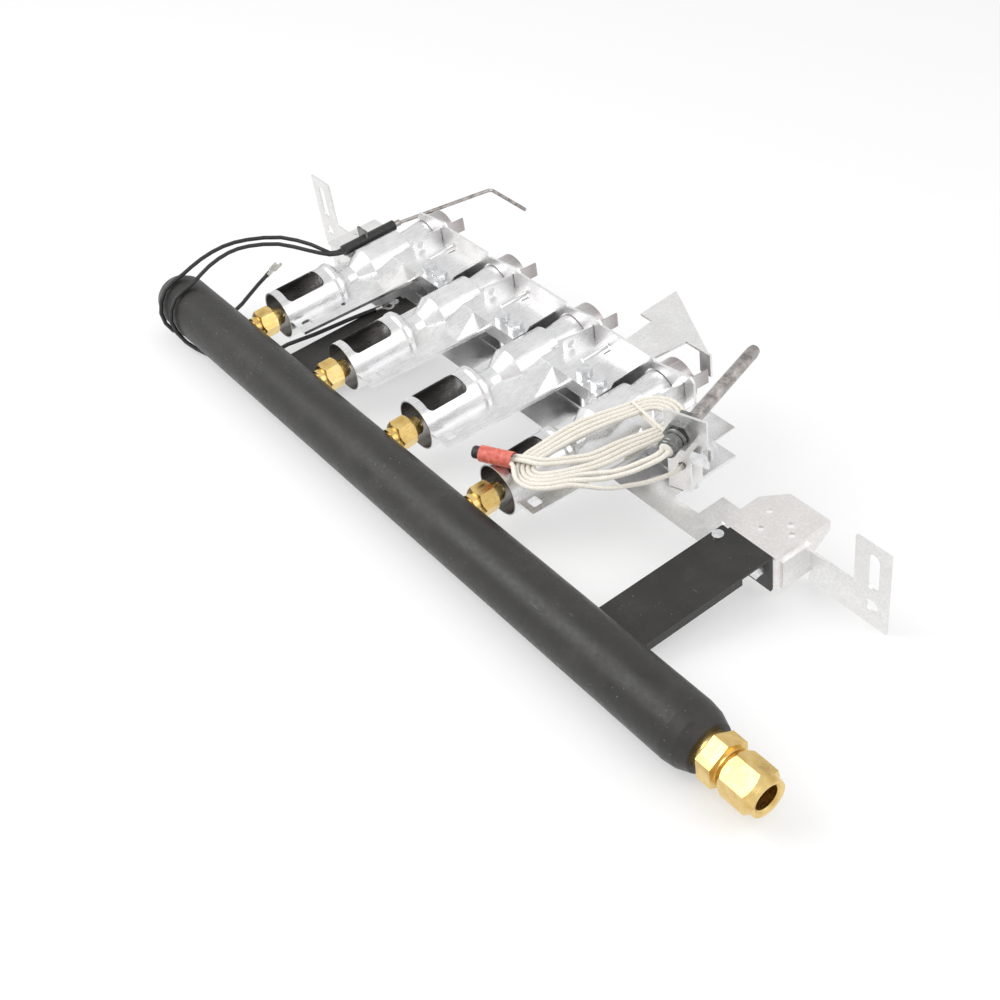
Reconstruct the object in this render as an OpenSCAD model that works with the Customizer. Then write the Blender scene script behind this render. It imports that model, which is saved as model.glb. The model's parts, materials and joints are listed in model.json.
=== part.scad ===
// Four-burner gas manifold assembly: a closed manifold pipe with a compression inlet, four stamped
// in-shot burners on a crossbar, two arms, end brackets with slotted ears, igniter and flame sensor.
// Millimetres. +X runs along the pipe to the gas inlet, +Y from the pipe to the flame, +Z is up.
// The origin is the middle of the footprint, on the plane under the ears.

/* [Manifold] */
// Outside diameter of the manifold pipe
pipe_d = 34; // [30:0.5:42]
// Wall thickness of the pipe
pipe_wall = 3.4; // [2:0.1:5]
// Pipe length left of the first burner
pipe_left = 74; // [60:1:95]
// Pipe length right of the last burner
pipe_right = 199; // [160:1:240]
// Flats across of the brass orifice hexagons
spud_flats = 16; // [13:0.5:19]

/* [Gas inlet] */
// Outside diameter of the gas tube that the inlet takes
tube_d = 12.7; // [9.5:0.1:15]
// Flats across of the compression nut
nut_flats = 21; // [20:0.5:27]
// Length of the compression nut
nut_len = 20; // [17:0.5:26]

/* [Burners] */
// Distance from one burner to the next
pitch = 76.2; // [72:0.2:92]
// Length of a burner from mouth to outlet
burner_len = 130; // [108:1:156]
// Outside diameter of the burner mouth
mouth_d = 31; // [26:0.5:34]
// Outside diameter of the burner head
head_d = 27; // [22:0.5:29]
// Thickness of the burner sheet
sheet = 1; // [0.8:0.1:1.2]
// Width of the air window
window_w = 20; // [14:1:22]
// Gap between a carry-over wing and the next burner's head
wing_gap = 1.2; // [0.8:0.1:4]
// Height of the upright wall above its wing
wall_h = 8; // [6:0.5:10]
// Height of the flame shield above the burner axis
shield_top = 20; // [18:0.5:26]

/* [Mounting] */
// Thickness of the bracket sheet
plate = 1.5; // [1:0.1:2]
// Width of a black support arm
arm_w = 34; // [26:1:40]
// Width of the end bracket's top plate
bracket_w = 38; // [34:1:46]
// Depth of the end bracket's flanges
bracket_drop = 24; // [20:1:28]
// How far the ear reaches from the bracket's side
ear_reach = 52; // [46:1:64]
// Height of the ear's upright flange
ear_tall = 54; // [46:1:64]
// Width of the ear's slot
slot_w = 7.5; // [6:0.5:9]
// Diameter of the ear's round hole
ear_hole = 8; // [6:0.5:10]

/* [Hidden] */
$fn = 48;
eps = 0.5;
pipe_r = pipe_d / 2;
bore_r = pipe_r - pipe_wall;
span = 3 * pitch;
pipe_end = span + pipe_right;
spud_hole = 5.1;

// stations along a burner, measured from the pipe axis
mouth_y = pipe_r + 18;
mouth_r = mouth_d / 2;
head_r = head_d / 2;
neck_r = 0.26 * mouth_d;
function along(f) = mouth_y + f * burner_len;
win_y0 = mouth_y + 5;
win_y1 = along(0.246);
neck_y0 = along(0.33);
neck_y1 = along(0.385);
box_y0 = along(0.51);
box_y1 = along(0.735);
box_r = head_r + 1;
wing_y = along(0.63);
shield_y = along(0.885);
out_y = along(1);
flange_x = 29;
flange_out = 33.5;
left_x = 17;
wing_reach = pitch - head_r - wing_gap + 1.3;
wing_rear = wing_reach - 3.5;
screw_x = [wing_reach - 18.8, wing_reach - 6.3];
screw_y = wing_y + 6;
wall_x = 17.7;
wall_y0 = wing_y + 12;
wall_y1 = out_y + 2;
function wall_at(y) = wall_x + 2.5 * (y - wall_y0) / (wall_y1 - wall_y0);
function edge_at(y) = flange_x + (flange_out - flange_x) * (y - mouth_y) / (wing_y - mouth_y);
bead_x = 32;
wing_top = 8.5;
lip_low = -1;
shield_low = -head_r - 3;
fan_y = [along(0.32), along(0.47), wing_y];
fan_in = [flange_x - 11, flange_x - 8, flange_x - 6];
fan_rise = [0.02, 0.45 * (wing_top - sheet), wing_top - sheet];

// crossbar, arms and brackets
bar_z = -12.5;
bar_y0 = wing_y - 25;
bar_y1 = bar_y0 + 14;
relief_y = neck_y1 + 6 + (box_y0 - neck_y1 - 6) * (-bar_z - neck_r - 0.64) / (box_r - neck_r - 0.2);
arm_x = 26;
arm_end = bar_y1 + 2;
arm_z = bar_z;
right_x = span + 91.5;
arm_right = right_x + 2;
bracket_x0 = right_x;
bracket_x1 = right_x + bracket_w;
bracket_y0 = arm_end + plate;
bracket_y1 = bracket_y0 + 39;
mid_x = (right_x + bracket_w + arm_x - 90) / 2;
plate_top = bar_z + plate;
bend_r = 4;
ear_y = bracket_y0 + 24;
ear_w = 22;
ear_x1 = bracket_x1 + ear_reach;
ear_low = plate_top - bracket_drop - 9;
ear_top = ear_low + ear_tall;
hole_x = ear_x1 - 10;
hole_z = ear_low + 13;
slot_z0 = ear_low + 28;
slot_len = 24;

// gas inlet
tube_r = tube_d / 2;
hub_x = pipe_end;
hub_len = 14;
thread_r = max(nut_flats / 2 - 2.6, tube_r + 1.55);
nut_x = hub_x + hub_len + 2;
nut_end = nut_x + nut_len;

// igniter, its hank of lead, and the flame sensor
ign_x = span + wing_reach - 2.7;
ign_y = wing_y - 4.5;
ign_turn = 17;
ign_z = 28;
foot_top = wing_top + plate;
hank_z0 = max(mouth_r, wing_top + wall_h) + 0.3;
hank_z1 = hank_z0 + 10.4;
sleeve_z = mouth_r + 4.8;
sleeve_turn = 27;
sleeve_end = [span + 7.2, mouth_y + 8.2];
function ign_at(x, y) = [ign_x + x * cos(ign_turn) - y * sin(ign_turn), ign_y + x * sin(ign_turn) + y * cos(ign_turn)];
function hank_at(x, y) = [span + x * (wing_reach - 2.8) / 60, mouth_y + (y - 35) * burner_len / 130];
sense_x = -box_r - 3.5;
sense_z = 9;
sense_y = along(0.48);
rod_r = 1.2;
rod_bend = 4;
rod_leg = 66;
rod_cross = 34;
rod_turn = 12;
lead_r = 1.3;
wrap_r = pipe_r + 2.5;
arm_top = plate_top + lead_r + 0.1;
function wrap(x, a) = [x, wrap_r * cos(a), wrap_r * sin(a)];
route_a = [[sense_x - 1.6, sense_y - 0.9, 9], [-21, sense_y - 8, 10], [-33, sense_y - 14, 14], [-50, sense_y - 26, 18],
  [-62, sense_y - 44, 20], [-66, sense_y - 60, 21], [-64, 20, 21], wrap(-60, 80), wrap(-58, 125), wrap(-56, 170),
  wrap(-54, 215), wrap(-52, 260), wrap(-50, 305), [-47, 26, -14], [-51, 38, -12], [-57, 50, -11], [-62, 62, -10]];
route_b = [[sense_x + 1.6, sense_y - 0.9, 9], [-18, sense_y - 10, 11], [-28, sense_y - 20, 15], [-43, sense_y - 32, 19],
  [-53, sense_y - 48, 21], [-55, sense_y - 62, 22], [-51, 19, 22], wrap(-46, 80), wrap(-44, 125), wrap(-42, 170),
  wrap(-36, 215), wrap(-22, 240), wrap(-6, 260), wrap(4, 290), [12, 18, -14.5], [18.3, 28, arm_top + 0.4],
  [21.5, 45, arm_top], [24.6, along(0.26), arm_top], [27.4, along(0.38), arm_top], [29, bar_y0 - 1, arm_top]];
route_c = [[each ign_at(-1.8, -15.8), ign_z], [each ign_at(-1.8, -20), ign_z], [ign_x + 5, ign_y - 28, ign_z - 1],
  [ign_x + 5.6, ign_y - 35, 26], [ign_x + 4, ign_y - 41, 24.5], [ign_x + 0.4, ign_y - 43.4, 23.2],
  [each hank_at(54.75, 70.4), 22.6]];
route_d = [[each ign_at(1.8, -15.8), ign_z], [each ign_at(1.8, -20), ign_z], [ign_x + 10.4, ign_y - 31, ign_z - 1],
  [ign_x + 11, ign_y - 41, 25], [ign_x + 8.5, ign_y - 51, 23], [ign_x + 2.6, ign_y - 57, 21.5],
  [ign_x - 3.6, ign_y - 57, 20.8], [each hank_at(51.45, 59), 20.5]];
route_e = [[each hank_at(55.85, 78), 18.6], [each hank_at(60.2, 78.6), 17.5], [each hank_at(64, 84), 14],
  [each ign_at(-0.7, -20), 9.5], [each ign_at(-0.6, -12), 6.5], [each ign_at(-0.5, -5), 5.5], [each ign_at(-0.5, 3), 5.5]];

// overall box, from which the origin follows
x_low = 2 * mid_x - ear_x1;
box_x = (x_low + nut_end) / 2;
shelf_y = shield_y + 52;
far_y = max(shelf_y, sense_y + 42 + rod_leg * cos(rod_turn) + rod_bend + rod_r);
box_y = (far_y - pipe_r) / 2;
box_z = ear_low;

galvanised = [0.78, 0.78, 0.77];
black = [0.09, 0.09, 0.09];
brass = [0.80, 0.62, 0.26];
ceramic = [0.88, 0.86, 0.80];
dark_steel = [0.32, 0.31, 0.29];
white_lead = [0.93, 0.91, 0.86];
red = [0.80, 0.22, 0.16];

// ---------- helpers ----------
module frame() translate([-box_x, -box_y, -box_z]) children();
module spun(profile, a = 360) rotate([-90, 0, 0]) rotate([0, 0, 180]) rotate_extrude(angle = a, $fn = 64)
  polygon(profile);
module along_x(profile) rotate([0, 90, 0]) rotate_extrude($fn = 72) polygon(profile);
module box(a, b) translate(a) cube(b - a);
module post(r, h, at, fn = 32) translate(at) cylinder(r = r, h = h, $fn = fn);
module round_rect(w, l, r) {
  square([w - 2 * r, l], center = true);
  square([w, l - 2 * r], center = true);
  for (x = [-1, 1], y = [-1, 1]) translate([x * (w / 2 - r), y * (l / 2 - r)]) circle(r = r, $fn = 24);
}
module hex_y(flats, y0, y1) translate([0, y0, 0]) rotate([-90, 0, 0])
  cylinder(r = flats / sqrt(3), h = y1 - y0, $fn = 6);
module cyl_y(r, y0, y1, fn = 40) translate([0, y0, 0]) rotate([-90, 0, 0]) cylinder(r = r, h = y1 - y0, $fn = fn);
module hex_x(flats, x0, x1) translate([x0, 0, 0]) rotate([0, 90, 0])
  cylinder(r = flats / sqrt(3), h = x1 - x0, $fn = 6);
module cyl_x(r, x0, x1, fn = 48) translate([x0, 0, 0]) rotate([0, 90, 0]) cylinder(r = r, h = x1 - x0, $fn = fn);
module mirror_ends() translate([2 * mid_x, 0, 0]) mirror([1, 0, 0]) children();

// cord sweep: one closed tube of n sides through the route's points
function unit(v) = v / norm(v);
function heading(p, i) = unit(p[min(i + 1, len(p) - 1)] - p[max(i - 1, 0)]);
function carried(p, i) = i == 0 ? unit(cross(heading(p, 0), [0.13, 0.21, 1]))
  : unit(carried(p, i - 1) - (carried(p, i - 1) * heading(p, i)) * heading(p, i));
function smooth(p) = [for (i = [0 : len(p) - 2]) each
  let (a = p[max(i - 1, 0)], b = p[i], c = p[i + 1], d = p[min(i + 2, len(p) - 1)])
  [b, (9 * (b + c) - a - d) / 16]];
function route(p) = concat(smooth(p), [p[len(p) - 1]]);
module cord(p, r, n = 8) {
  m = len(p);
  frames = [for (i = 0, u = carried(p, 0); i < m; i = i + 1,
    u = i < m ? unit(u - (u * heading(p, i)) * heading(p, i)) : u) [heading(p, i), u]];
  pts = [for (i = [0 : m - 1]) for (k = [0 : n - 1])
    p[i] + r * (cos(360 * k / n) * frames[i][1] + sin(360 * k / n) * cross(frames[i][0], frames[i][1]))];
  sides = [for (i = [0 : m - 2]) for (k = [0 : n - 1]) each
    let (a = i * n + k, b = i * n + (k + 1) % n) [[b, a, b + n], [a, a + n, b + n]]];
  polyhedron(points = pts, faces = concat(sides, [[for (k = [0 : n - 1]) k],
    [for (k = [n - 1 : -1 : 0]) (m - 1) * n + k]]));
}

// ---------- manifold pipe and gas inlet ----------
module manifold_pipe() color(black) frame() difference() {
  along_x([[0, -pipe_left], [pipe_r * 0.55, -pipe_left + 0.8], [pipe_r * 0.85, -pipe_left + 4],
    [pipe_r, -pipe_left + 11], [pipe_r, pipe_end - 14], [pipe_r * 0.94, pipe_end - 7],
    [pipe_r * 0.78, pipe_end], [10.1, pipe_end], [10.1, pipe_end - 16], [bore_r, pipe_end - 20],
    [bore_r, -pipe_left + 13], [bore_r - 4, -pipe_left + 6], [0, -pipe_left + 5]]);
  for (i = [0 : 3]) translate([i * pitch, 0, 0]) cyl_y(spud_hole, 0, pipe_r + 1);
}
module inlet_body() color(brass) frame() difference() {
  union() {
    cyl_x(10, hub_x - 14, hub_x + eps);
    cyl_x(nut_flats / 2 - 0.4, hub_x, hub_x + 2.6);
    cyl_x(nut_flats / 2 - 1.6, hub_x + 2, hub_x + 4);
    hex_x(nut_flats + 1.5, hub_x + 3.6, hub_x + hub_len - 1.6);
    cyl_x(nut_flats / 2 - 0.6, hub_x + 3, hub_x + hub_len);
    cyl_x(thread_r, hub_x + hub_len - eps, nut_x + 9);
  }
  cyl_x(tube_r - 1.4, hub_x - 20, nut_end);
  along_x([[0, nut_x - 4], [tube_r + 0.15, nut_x - 4], [tube_r + 0.15, nut_x + 6],
    [tube_r + 1.6, nut_x + 9.5], [0, nut_x + 9.5]]);
}
module inlet_ferrule() color(brass) frame() along_x([[tube_r + 0.15, nut_x + 7], [tube_r + 0.7, nut_x + 7.5],
  [tube_r + 1.5, nut_x + 9.4], [tube_r + 1.5, nut_x + 10.4], [tube_r + 0.7, nut_x + 12], [tube_r + 0.15, nut_x + 12]]);
module inlet_nut() color(brass) frame() difference() {
  intersection() {
    hex_x(nut_flats, nut_x, nut_end);
    along_x([[0, nut_x], [nut_flats / 2 + 0.2, nut_x], [nut_flats * 0.6, nut_x + 2],
      [nut_flats * 0.6, nut_end - 5], [nut_flats / 2 - 0.2, nut_end - 3.4], [nut_flats / 2 - 0.8, nut_end], [0, nut_end]]);
  }
  cyl_x(thread_r + 0.08, nut_x - 1, nut_x + 12.4);
  along_x([[0, nut_x], [tube_r + 0.15, nut_x], [tube_r + 0.15, nut_end - 1.2], [tube_r + 1.4, nut_end],
    [tube_r + 1.4, nut_end + 1], [0, nut_end + 1]]);
}
module orifice(i) color(brass) frame() translate([i * pitch, 0, 0]) difference() {
  union() {
    cyl_y(spud_hole - 0.05, bore_r - 1, pipe_r + eps);
    cyl_y(6.5, pipe_r, pipe_r + 4);
    intersection() {
      hex_y(spud_flats, pipe_r + 3.5, pipe_r + 14);
      spun([[0, pipe_r + 3.5], [spud_flats / 2, pipe_r + 3.5], [spud_flats * 0.58, pipe_r + 4.6],
        [spud_flats * 0.58, pipe_r + 12.9], [spud_flats / 2 - 0.3, pipe_r + 14], [0, pipe_r + 14]]);
    }
    spun([[0, pipe_r + 13.5], [5.6, pipe_r + 13.5], [5.6, pipe_r + 18.5], [4.4, pipe_r + 20], [0, pipe_r + 20]]);
  }
  cyl_y(3, bore_r - 2, pipe_r + 17);
  cyl_y(1.1, pipe_r, pipe_r + 21, 16);
}

// ---------- burners ----------
function tube_line(o) = [[mouth_r - o, mouth_y], [mouth_r - o, neck_y0 - 5], [mouth_r - o + 0.8, neck_y0 - 3.5],
  [mouth_r - o + 0.8, neck_y0 - 1], [mouth_r - o - 0.6, neck_y0 + 0.6], [neck_r - o + 0.8, neck_y1 - 2.6],
  [neck_r - o, neck_y1], [neck_r - o + 0.2, neck_y1 + 6], [box_r - o, box_y0], [box_r - o, box_y1],
  [head_r - o - 2.4, box_y1 + 2.2], [head_r - o, out_y - 8], [head_r - o, out_y]];
module tube_solid(o, more, a = 360) spun(concat([[0, mouth_y - more], [mouth_r - o, mouth_y - more]],
  more > 0 ? tube_line(o) : [for (i = [1 : 11]) tube_line(o)[i]],
  [[head_r - o, out_y + more], [0, out_y + more]]), a);
module burner_at(i) color(galvanised) frame() translate([i * pitch, 0, 0]) children();
module side_flanges(z0) translate([0, 0, z0]) linear_extrude(sheet) polygon([[0, mouth_y + 1.5],
  [flange_x, mouth_y + 1.5], [flange_out, wing_y], [0, wing_y], [0, wing_y - 3 * sheet],
  [-left_x, wing_y - 3 * sheet], [-left_x, mouth_y + 6], [0, mouth_y + 6]]);
module flange_cuts() {
  translate([flange_x - 7, mouth_y + 8, 0]) linear_extrude(4, center = true) round_rect(7, 6, 1.5);
  post(1.6, 4, [flange_x - 7, along(0.27), -2], 20);
}
module upper_flange() linear_extrude(sheet) polygon([[0, mouth_y + 1.5], [flange_x, mouth_y + 1.5],
  [flange_out, wing_y], [flange_out - 4, wing_y], [edge_at(fan_y[0]) - 4, fan_y[0] + 4], [0, fan_y[0] + 4],
  [0, wing_y - 3 * sheet], [-left_x, wing_y - 3 * sheet], [-left_x, mouth_y + 6], [0, mouth_y + 6]]);
module fan() {
  top = [for (i = [0 : 2]) let (z = sheet + fan_rise[i]) each
    [[0, fan_y[i], z], [fan_in[i], fan_y[i], z], [edge_at(fan_y[i]) - 1.5, fan_y[i], sheet + min(fan_rise[i], 0)]]];
  polyhedron(points = concat(top, [for (p = top) p - [0, 0, sheet]]), faces = [
    [0, 3, 4, 1], [3, 6, 7, 4], [1, 4, 2], [4, 5, 2], [4, 7, 5], [7, 8, 5],
    [10, 13, 12, 9], [13, 16, 15, 12], [11, 13, 10], [11, 14, 13], [14, 16, 13], [14, 17, 16],
    [3, 0, 9, 12], [6, 3, 12, 15], [2, 5, 14, 11], [5, 8, 17, 14],
    [0, 1, 10, 9], [1, 2, 11, 10], [7, 6, 15, 16], [8, 7, 16, 17]]);
}
module wing_sheet(z0) translate([0, 0, z0]) linear_extrude(sheet) polygon([[0, wing_y], [wing_reach, wing_y],
  [wing_reach, wing_y + 9], [wing_rear + 1, wing_y + 13], [wing_rear, shield_y], [wall_at(shield_y) + sheet, shield_y],
  [wall_at(wall_y1) + sheet, wall_y1], [head_r - sheet / 2, wall_y1 - 2], [0, out_y]]);
module upper_shell(i) burner_at(i) difference() {
  union() {
    tube_solid(0, 0, 180);
    upper_flange();
    fan();
    translate([0, wing_y, 0]) rotate([90, 0, 0]) linear_extrude(sheet) polygon([[fan_in[2] - 1, wing_top],
      [wing_reach, wing_top], [wing_reach - 3, lip_low], [flange_out - 2, lip_low], [flange_out - 2, sheet]]);
    translate([0, -sheet, 0]) wing_sheet(wing_top - sheet);
    wing_sheet(wing_top - sheet);
    translate([0, 0, wing_top - sheet]) linear_extrude(sheet + wall_h) polygon([[wall_x, wall_y0],
      [wall_x + sheet, wall_y0], [wall_at(wall_y1) + sheet, wall_y1], [wall_at(wall_y1), wall_y1]]);
    intersection() {
      translate([bead_x, 0, wing_top - 0.3]) cyl_y(1.6, wing_y + 14, shield_y - 1, 20);
      box([bead_x - 3, 0, wing_top - sheet / 2], [bead_x + 3, out_y, wing_top + 3]);
    }
  }
  tube_solid(sheet, 1);
  flange_cuts();
  translate([0, (win_y0 + win_y1) / 2, 3]) linear_extrude(mouth_r) round_rect(window_w, win_y1 - win_y0, 3);
  for (x = screw_x) post(2.3, 6, [x, screw_y, wing_top - 4], 20);
  box([bead_x + 4, shield_y - 7, 0], [bead_x + 5, shield_y - 2, wing_top + 5]);
  translate([0, wing_y + 17, wing_top + 0.4 * wall_h]) rotate([0, 90, 0]) post(2.6, 9, [0, 0, wall_x - 4], 24);
}
module lower_shell(i) burner_at(i) difference() {
  union() {
    mirror([0, 0, 1]) tube_solid(0, 0, 180);
    side_flanges(-sheet);
    box([0, wing_y + 1, bar_z], [wing_rear, shield_y, bar_z + sheet]);
    for (x = screw_x) post(4.5, wing_top - sheet - bar_z, [x, screw_y, bar_z], 28);
  }
  tube_solid(sheet, 1);
  box([wall_x + 1.7, wing_y - sheet, -sheet - eps], [flange_out + 1, wing_y + 1, eps]);
  flange_cuts();
  for (x = screw_x) post(2.3, 30, [x, screw_y, bar_z - 5], 20);
}
module flame_insert(i) burner_at(i) difference() {
  cyl_y(head_r - sheet - 0.05, out_y - 7.5, out_y - 3);
  cyl_y(3.2, out_y - 10, out_y, 24);
  for (a = [0 : 45 : 315]) rotate([0, a, 0]) translate([head_r * 0.52, 0, 0]) cyl_y(1.5, out_y - 10, out_y, 16);
}
module screw(at, shank) translate(at) {
  post(1.95, shank, [0, 0, -shank], 20);
  post(5.4, 1, [0, 0, 0], 28);
  translate([0, 0, 1]) cylinder(r = 4.6, h = 4, $fn = 6);
}
module burner_screws() color(galvanised) frame() for (i = [0 : 2], x = screw_x)
  screw([i * pitch + x, screw_y, wing_top], wing_top - bar_z + 6);

// ---------- crossbar, shield, arms ----------
module bar_tongue() {
  box([bracket_x0 - 14, bar_y1 - eps, bar_z - plate], [bracket_x0 + 1.5, bracket_y0 + 14, bar_z]);
  box([bracket_x0, bracket_y0 + plate + eps, bar_z - plate], [bracket_x0 + 14, bracket_y0 + 14, bar_z]);
}
module crossbar() color(galvanised) frame() difference() {
  union() {
    box([2 * mid_x - bracket_x0 - 12, bar_y0, bar_z - plate], [bracket_x0 + 12, bar_y1, bar_z]);
    for (i = [0 : 3]) box([i * pitch + 17, bar_y1 - eps, bar_z - plate], [i * pitch + wing_rear, shield_y, bar_z]);
    bar_tongue();
    mirror_ends() bar_tongue();
  }
  box([arm_x + 3, arm_end - 0.5, bar_z - 5], [arm_x + arm_w + 1, arm_end + plate + 0.5, bar_z + 1]);
  for (i = [0 : 3]) translate([i * pitch, 0, 0]) cyl_y(box_r + 0.4, relief_y, out_y);
  for (i = [0 : 3], x = screw_x) post(2.1, 9, [i * pitch + x, screw_y, bar_z - 5], 20);
  for (x = [arm_x + 4, arm_right + 4]) post(2.1, 9, [x, bar_y1 - 5, bar_z - 5], 20);
}
module flame_shield() color(galvanised) frame() difference() {
  union() {
    translate([0, shield_y + plate, 0]) rotate([90, 0, 0]) linear_extrude(plate) polygon(concat(
      [[span + 28, shield_low], [-27, shield_low]], [for (i = [0 : 2]) each [[i * pitch - 4, shield_top - 2],
        [i * pitch + 25, shield_top + 2.7], [i * pitch + 27, shield_top], [i * pitch + 71, shield_top]]],
      [[span - 4, shield_top - 2], [span + 25, shield_top + 2.7], [span + 28, shield_top]]));
    translate([2 * pitch, 0, shield_top - plate]) linear_extrude(plate) polygon([[47.6, shield_y], [71, shield_y],
      [73.5, shield_y + 23], [92.5, shield_y + 23], [33.5, shelf_y], [35, shield_y + 23], [45, shield_y + 23]]);
    box([2 * pitch + 84, shield_y + 23, shield_top - 15], [2 * pitch + 92.5, shield_y + 23 + plate, shield_top]);
  }
  for (i = [0 : 3]) translate([i * pitch, 0, 0]) {
    cyl_y(head_r + 0.3, 0, out_y);
    box([0, 0, wing_top - sheet - 0.3], [wall_at(shield_y) + sheet + 0.6, out_y, wing_top + 0.3]);
    box([wall_at(shield_y) - 0.3, 0, wing_top - 1], [wall_at(shield_y) + sheet + 0.6, out_y, wing_top + wall_h + 0.3]);
  }
}
module arm(x) color(black) frame() difference() {
  union() {
    box([x, pipe_r * 0.5, arm_z], [x + arm_w, arm_end, arm_z + plate]);
    box([x + arm_w - plate, pipe_r + 2, arm_z - 4], [x + arm_w, bar_y0 - 3, arm_z + plate]);
    box([x + 4, arm_end, arm_z + plate - bracket_drop], [x + arm_w, arm_end + plate, arm_z + plate]);
  }
  cyl_x(pipe_r, x - 1, x + arm_w + 1, 72);
  post(2.3, 9, [x + 4, bar_y1 - 5, arm_z - 4], 20);
  translate([x + arm_w - 9, 0, arm_z + plate - bracket_drop / 2]) cyl_y(3.2, arm_end - 2, arm_end + 9, 24);
}
module left_arm() arm(arm_x);
module right_arm() arm(arm_right);
module arm_rivets() color(galvanised) frame() for (x = [arm_x + 4, arm_right + 4]) translate([x, bar_y1 - 5, 0]) {
  post(1.95, 2 * plate + 2, [0, 0, arm_z - plate - 1.5], 20);
  post(3.2, 1.2, [0, 0, arm_z + plate], 24);
  post(3.2, 1.5, [0, 0, arm_z - plate - 1.5], 24);
}
module arm_bolt() color(galvanised) frame() translate([arm_right + arm_w - 9, 0, arm_z + plate - bracket_drop / 2]) {
  cyl_y(3, arm_end - 1, bracket_y0 + plate + 7, 24);
  hex_y(10, arm_end - 4, arm_end);
}

// ---------- end brackets and ears ----------
module bracket_body() difference() {
  union() {
    translate([0, 0, plate_top - plate]) linear_extrude(plate) polygon([[bracket_x0, bracket_y0],
      [bracket_x1, bracket_y0], [bracket_x1, bracket_y1], [bracket_x0 + 10, bracket_y1], [bracket_x0, bracket_y1 - 13]]);
    translate([0, 0, plate_top - bracket_drop]) linear_extrude(bracket_drop) {
      translate([bracket_x0 + 2, bracket_y0]) square([bracket_w - 2 - bend_r, plate]);
      translate([bracket_x1 - plate, bracket_y0 + bend_r]) square([plate, 39 - bend_r]);
      translate([bracket_x1 - bend_r, bracket_y0 + bend_r]) intersection() {
        difference() {
          circle(r = bend_r);
          circle(r = bend_r - plate);
        }
        translate([0, -bend_r]) square(bend_r);
      }
    }
  }
  for (p = [[11.5, 22.4], [17.6, 10.2], [26.7, 22.4], [32, 17.8]]) post(2, 9, [bracket_x0 + p[0], bracket_y0 + p[1],
    plate_top - 5], 24);
  translate([0, 0, plate_top - bracket_drop]) rotate([0, 90, 0]) translate([0, 0, bracket_x1 - 3])
    linear_extrude(9) polygon([[1, bracket_y0 + 12], [1, bracket_y1 + 1], [-bracket_drop + 6, bracket_y1 + 1]]);
  translate([arm_right + arm_w - 9, 0, arm_z + plate - bracket_drop / 2]) cyl_y(3.2, arm_end, bracket_y0 + 9, 24);
}
module ear_body() difference() {
  union() {
    box([bracket_x1, ear_y - 20, ear_low + 9], [bracket_x1 + plate, ear_y, ear_low + 9 + ear_w - 3]);
    box([bracket_x1, ear_y - eps, ear_low + 9], [bracket_x1 + plate, ear_y + plate, ear_low + ear_w]);
    box([bracket_x1, ear_y, ear_low], [ear_x1 - ear_w + eps, ear_y + plate, ear_low + ear_w]);
    box([ear_x1 - ear_w, ear_y, ear_low], [ear_x1, ear_y + plate, ear_top]);
  }
  translate([hole_x, 0, hole_z]) cyl_y(ear_hole / 2, ear_y - 5, ear_y + 5, 32);
  for (z = [slot_z0, slot_z0 + slot_len - slot_w]) translate([hole_x, 0, z]) cyl_y(slot_w / 2, ear_y - 5, ear_y + 5, 32);
  box([hole_x - slot_w / 2, ear_y - 5, slot_z0], [hole_x + slot_w / 2, ear_y + 5, slot_z0 + slot_len - slot_w]);
}
module right_bracket() color(galvanised) frame() bracket_body();
module left_bracket() color(galvanised) frame() mirror_ends() bracket_body();
module right_ear() color(galvanised) frame() ear_body();
module left_ear() color(galvanised) frame() mirror_ends() ear_body();

// ---------- igniter on the last burner's wing ----------
module at_igniter() translate([ign_x, ign_y, 0]) rotate([0, 0, ign_turn]) children();
module at_gland() at_igniter() translate([0, 0, ign_z]) children();
module igniter_bracket() color(galvanised) frame() difference() {
  union() {
    box([span + wing_reach - 21.5, ign_y + 1, wing_top], [span + wing_reach + 1, wing_y + 14, foot_top]);
    at_igniter() {
      box([-10, 0, wing_top + 0.4], [15, plate, ign_z + 12]);
      box([-9.3, 0, bar_z + 0.3], [4.5, plate, wing_top + 1]);
    }
  }
  for (x = screw_x) post(2.3, 9, [span + x, screw_y, wing_top - 3], 20);
  at_igniter() translate([-0.5, 0, 5.5]) cyl_y(2.4, -3, 6, 24);
  at_gland() cyl_y(6.05, -3, 6);
  at_igniter() translate([10.5, 0, 17]) cyl_y(3.1, -3, 6, 24);
}
module igniter_gland() color(dark_steel) frame() at_gland() difference() {
  union() {
    hex_y(15, plate, 8.5);
    cyl_y(6, -7, plate + eps);
  }
  cyl_y(4.15, -9, 12);
}
module igniter_nut() color(dark_steel) frame() at_gland() difference() {
  hex_y(15, -4, 0);
  cyl_y(6.05, -9, 3);
}
module igniter_insulator() color(ceramic) frame() at_gland() difference() {
  cyl_y(4.1, -16, 11);
  for (x = [-1.8, 1.8]) translate([x, 0, 0]) cyl_y(lead_r + 0.04, -17, -12, 20);
}
module igniter_rod() color(dark_steel) frame() at_gland() spun([[0, 11], [3.7, 11], [3.7, 74], [3.2, 77],
  [1.8, 78.5], [0, 79]]);
module igniter_bolt() color(galvanised) frame() at_igniter() translate([10.5, 0, 17]) {
  cyl_y(3, -eps, plate + 9, 24);
  hex_y(8, -3, 0);
  cyl_y(6.2, plate, plate + 1.2, 32);
  hex_y(10.6, plate + 1, plate + 7);
}
module igniter_screws() color(galvanised) frame() for (x = screw_x)
  screw([span + x, screw_y, foot_top], foot_top - bar_z + 6);
module igniter_leads() color(white_lead) frame() {
  cord(route(route_c), lead_r);
  cord(route(route_d), lead_r);
  cord(route(route_e), lead_r);
}
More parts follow.
